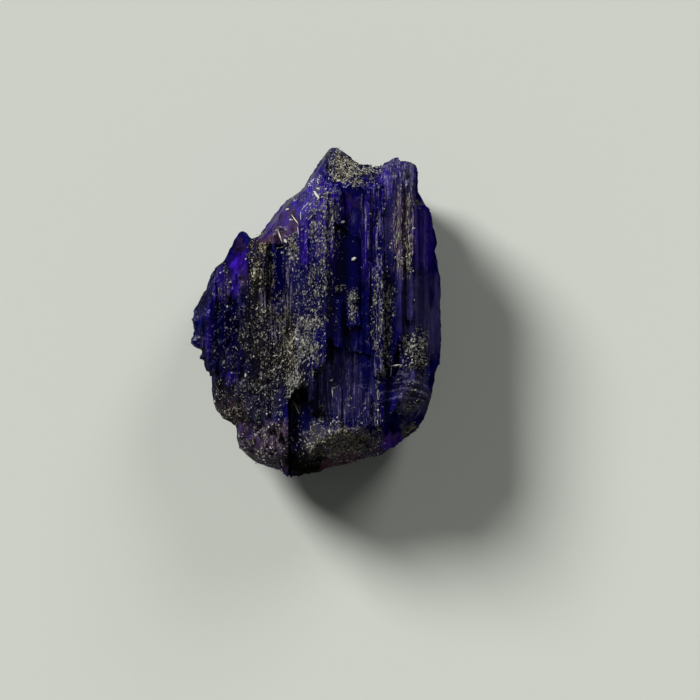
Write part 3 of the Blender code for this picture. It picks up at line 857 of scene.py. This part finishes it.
def finished(name, bm, material):
    """Turn a bmesh in millimetres into a smooth-shaded piece that keeps its sharp edges."""
    bmesh.ops.scale(bm, vec=(MM, MM, MM), verts=bm.verts)
    mesh = bpy.data.meshes.new(name)
    bm.to_mesh(mesh)
    bm.free()
    mesh.materials.append(material)
    mesh.shade_smooth()
    mesh.set_sharp_from_angle(angle=SHARP_ANGLE)
    piece = bpy.data.objects.new(name, mesh)
    bpy.context.scene.collection.objects.link(piece)
    return piece


def stone_mesh(settings):
    """The CAD stone with its striae, hackle, chips and crust worked in, in millimetres."""
    bm = bmesh.new()
    bm.from_mesh(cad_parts[CAD_STONE].data)
    bmesh.ops.scale(bm, vec=(1 / MM, 1 / MM, 1 / MM), verts=bm.verts)
    bmesh.ops.remove_doubles(bm, verts=bm.verts, dist=MERGE)
    bm.normal_update()
    refine(bm, settings.front_detail / MM, settings.side_detail / MM, settings.back_detail / MM)
    broken = [vert for vert in bm.verts if abs(vert.normal.y) > 0.4]
    for _ in range(2):
        bmesh.ops.smooth_vert(bm, verts=broken, factor=0.4, use_axis_x=True, use_axis_y=True,
                              use_axis_z=True)
    bm.normal_update()
    for vert in bm.verts:
        for level, patch in FILLS:
            if level - FILL_DEPTH < vert.co.z < level:
                cover = patch_amount((patch,), vert.co.x, vert.co.y)
                vert.co.z += FILL_SHARE * (level - vert.co.z) * cover
    bm.normal_update()
    # without a seed of its own, noise_vector starts from the clock
    noise.seed_set(NOISE_SEED)
    layers = {name: bm.verts.layers.float.new(name) for name in PATCHES}
    worn = bm.verts.layers.float.new("worn")
    wall = bm.verts.layers.float.new("wall")
    moves = []
    for vert in bm.verts:
        amounts = layer_amounts(vert.co, vert.normal)
        for name, layer in layers.items():
            vert[layer] = amounts[name]
        vert[wall] = 1.0 - ramp(vert.normal.z, 0.7, 0.93)
        rise = relief(vert.co, vert.normal, amounts, bulge(vert), settings)
        moves.append(vert.normal * rise)
    for vert, move in zip(bm.verts, moves):
        if vert.co.z > 0.02:
            vert.co += move
    bm.normal_update()
    for vert in bm.verts:
        vert[worn] = ramp(bulge(vert), 0.1, 0.45)
    return bm


class MESH_OT_tanzanite_stone(bpy.types.Operator):
    """Build the visible stone over the CAD one"""

    bl_idname = "mesh.tanzanite_stone"
    bl_label = "Tanzanite stone"

    def execute(self, context):
        settings = context.scene.tanzanite
        stone = finished("tanzanite_stone", stone_mesh(settings), crystal_material(settings))
        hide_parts(CAD_STONE)
        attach(stone, "root")
        return {"FINISHED"}


class MESH_OT_tanzanite_grains(bpy.types.Operator):
    """Scatter pale grains and flakes where the stone is dusty"""

    bl_idname = "mesh.tanzanite_grains"
    bl_label = "Mineral grains"

    def execute(self, context):
        settings = context.scene.tanzanite
        stone = bpy.data.objects.get("tanzanite_stone")
        if stone is None:
            raise RuntimeError("Build the stone first: the grains lie on it")
        grains = finished("mineral_grains", grain_mesh(stone, settings), grain_material(settings))
        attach(grains, "root")
        return {"FINISHED"}


def grain_mesh(stone, settings):
    """Small grains on the dusty places of the stone, and sprays of larger flakes, some of them pale
    flakes set as painted highlights, in millimetres.
    """
    rng = random.Random(GRAIN_SEED)
    mesh = stone.data
    dust = mesh.attributes["dust"].data
    ochre = mesh.attributes["ochre"].data
    spots = [face for face in mesh.polygons if face.normal.z > 0.1]
    weights = []
    for face in spots:
        x, y, z = face.center / MM
        streak = ramp(noise.noise(Vector((x * 4.5, y * 0.7, z * 4.5))), -0.15, 0.3)
        clump = ramp(noise.noise(Vector((x * 1.8, y * 1.8, z * 1.8 + 9.0))), -0.2, 0.35)
        laid = sum(dust[corner].value for corner in face.vertices)
        weights.append(face.area * laid * (0.08 + streak * clump))
    shapes = []
    for face in rng.choices(spots, weights=weights, k=settings.grain_count):
        size = min(0.06, 0.013 * rng.paretovariate(1.9))
        spread = size * rng.uniform(1.0, 1.8)
        middle = Vector(face.center) / MM
        middle += Vector((rng.gauss(0, 0.05), rng.gauss(0, 0.05), 0.0))
        turn = rng.uniform(0.6, 2.5)
        stain = sum(ochre[corner].value for corner in face.vertices) / len(face.vertices)
        shapes.append((middle, Vector(face.normal), spread, size, turn, rng.random() ** 1.6, stain))
    above = Vector((0.0, 0.0, 1.0))
    tree = BVHTree.FromPolygons([vert.co / MM for vert in mesh.vertices],
                                [face.vertices for face in mesh.polygons])
    for spray in FLAKES_AND_HIGHLIGHTS:
        for _ in range(spray.count):
            x = spray.patch.x + spray.patch.half_x * rng.triangular(-1.2, 1.2)
            y = spray.patch.y + spray.patch.half_y * rng.triangular(-1.2, 1.2)
            spot, facing, number, _ = tree.ray_cast(Vector((x, y, 20.0)), -above)
            if spot is None or (facing.z < 0.2 and spray.count > 1):
                continue
            long = 0.5 * spray.long
            size = rng.uniform(0.35, 1.0) if spray.count > 1 else 1.0
            turn = math.radians(spray.turn + spray.swing * rng.uniform(-1.0, 1.0))
            # a long flake rests on the highest bumps under it
            if spray.count == 1:
                reach = 0.45 * spray.long * Vector((math.cos(turn), math.sin(turn), 0.0))
                under = [tree.ray_cast(Vector((x, y, 20.0)) + step * 0.25 * reach, -above)[0]
                         for step in range(-4, 5)]
                if None not in under:
                    along = under[-1] - under[0]
                    rise = max(low.z - under[0].z - along.z * step / 8
                               for step, low in enumerate(under))
                    facing = along.cross(above.cross(along)).normalized()
                    spot = 0.5 * (under[0] + under[-1]) + above * rise
                    long = min(0.55 * along.length, 0.9 * spray.long)
            spot = spot + facing * spray.wide * (0.5 if spray.count == 1 else 0.2)
            shapes.append((spot, facing, size * long, 0.5 * size * spray.wide, turn,
                           rng.uniform(0.2, 1.0) if spray.count > 1 else 1.0,
                           ochre[mesh.polygons[number].vertices[0]].value))
    heap = bpy.data.meshes.new("heap")
    whole = bmesh.new()
    for start in range(0, len(shapes), HEAP):
        bm = bmesh.new()
        pale = bm.verts.layers.float.new("pale")
        stained = bm.verts.layers.float.new("ochre")
        for spot, facing, long, wide, turn, brightness, stain in shapes[start:start + HEAP]:
            tilt = Vector((rng.gauss(0, 1), rng.gauss(0, 1), rng.gauss(0, 1)))
            upright = (facing + tilt * 0.22 * min(1.0, 0.1 / long)).normalized()
            across = Vector((math.cos(turn), math.sin(turn), 0.0)).cross(upright).normalized()
            rows = Matrix((across.cross(upright), across, upright)).transposed()
            shape = Matrix.Diagonal((long, wide, min(0.05, wide * rng.uniform(0.5, 1.0)), 1.0))
            made = bmesh.ops.create_cone(bm, cap_ends=True, cap_tris=False,
                                         segments=rng.choice((3, 4, 5)), radius1=1.0,
                                         radius2=rng.uniform(0.3, 0.8), depth=1.0,
                                         matrix=Matrix.Translation(spot) @ rows.to_4x4() @ shape)
            for vert in made["verts"]:
                vert[pale] = brightness
                vert[stained] = stain
        bm.to_mesh(heap)
        whole.from_mesh(heap)
        bm.free()
    bpy.data.meshes.remove(heap)
    return whole


class SCENE_OT_tanzanite_stage(bpy.types.Operator):
    """Set up the pale floor, the soft light and the camera straight above the stone"""

    bl_idname = "scene.tanzanite_stage"
    bl_label = "Floor, light and camera"

    def execute(self, context):
        settings = context.scene.tanzanite
        floor(settings)
        studio_light(context.scene)
        context.scene.camera = camera_above()
        context.scene.view_settings.view_transform = "Standard"
        return {"FINISHED"}


def floor(settings):
    """A plain pale floor, 4 m wide, which the stone lies on."""
    bm = bmesh.new()
    bmesh.ops.create_grid(bm, x_segments=1, y_segments=1, size=2000.0)
    material = bpy.data.materials.new("Matt pale card")
    material.use_nodes = True
    shader = material.node_tree.nodes["Principled BSDF"]
    shader.inputs["Base Color"].default_value = colour(settings.floor_colour)
    shader.inputs["Roughness"].default_value = 0.9
    return finished("floor", bm, material)


def studio_light(scene):
    """A big soft window beyond the upper end, in a dim room that is darkest overhead, so that
    faces that look straight up show their own colour."""
    for name, way, width, strength in (
        ("window_light", (-0.6, 0.62, 0.56), 20, 3.65),
        ("far_light", (0.5, 0.8, 0.5), 24, 0.9),
    ):
        lamp = bpy.data.lights.new(name, "SUN")
        lamp.angle = math.radians(width)
        lamp.energy = strength
        light = bpy.data.objects.new(name, lamp)
        light.rotation_euler = (-Vector(way)).to_track_quat("-Z", "Y").to_euler()
        scene.collection.objects.link(light)
    world = bpy.data.worlds.new("Pale room")
    world.use_nodes = True
    scene.world = world
    tree = world.node_tree
    background = tree.nodes["Background"]
    way = add(tree, "TexCoord").outputs["Generated"]
    up = add(tree, "SeparateXYZ", {0: way}).outputs["Z"]
    shade = add(tree, "MapRange", {"Value": up, "From Min": 0.1, "From Max": 0.75, "To Min": 0.16,
                                   "To Max": 0.05}).outputs[0]
    background.inputs["Color"].default_value = (0.95, 0.98, 0.94, 1.0)
    tree.links.new(shade, background.inputs["Strength"])


def camera_above():
    """A long lens straight above the stone."""
    lens = bpy.data.cameras.new("camera")
    lens.sensor_width = 36.0
    lens.lens = lens.sensor_width * (CAMERA_HEIGHT - WAIST) / VIEW_WIDTH
    lens.clip_start = 0.01
    lens.clip_end = 10.0
    camera = bpy.data.objects.new("camera", lens)
    camera.location = (1.87 * MM, -2.09 * MM, CAMERA_HEIGHT * MM)
    bpy.context.scene.collection.objects.link(camera)
    return camera


class VIEW3D_PT_tanzanite(bpy.types.Panel):
    """Steps that build the stone and its stage"""

    bl_label = "Rough tanzanite"
    bl_space_type = "VIEW_3D"
    bl_region_type = "UI"
    bl_category = "Tanzanite"

    def draw(self, context):
        for name in StoneSettings.__annotations__:
            self.layout.prop(context.scene.tanzanite, name)
        for operator in OPERATORS:
            self.layout.operator(operator.bl_idname)


OPERATORS = (MESH_OT_tanzanite_stone, MESH_OT_tanzanite_grains, SCENE_OT_tanzanite_stage)
CLASSES = (StoneSettings, *OPERATORS, VIEW3D_PT_tanzanite)


def register():
    """Register the classes, and keep the settings with the scene."""
    for item in CLASSES:
        bpy.utils.register_class(item)
    bpy.types.Scene.tanzanite = PointerProperty(type=StoneSettings)


def unregister():
    """Take the classes and the settings away again."""
    del bpy.types.Scene.tanzanite
    for item in reversed(CLASSES):
        bpy.utils.unregister_class(item)


def main():
    """Build everything in order."""
    register()
    bpy.ops.mesh.tanzanite_stone()
    bpy.ops.mesh.tanzanite_grains()
    bpy.ops.scene.tanzanite_stage()


if __name__ == "__main__":
    main()
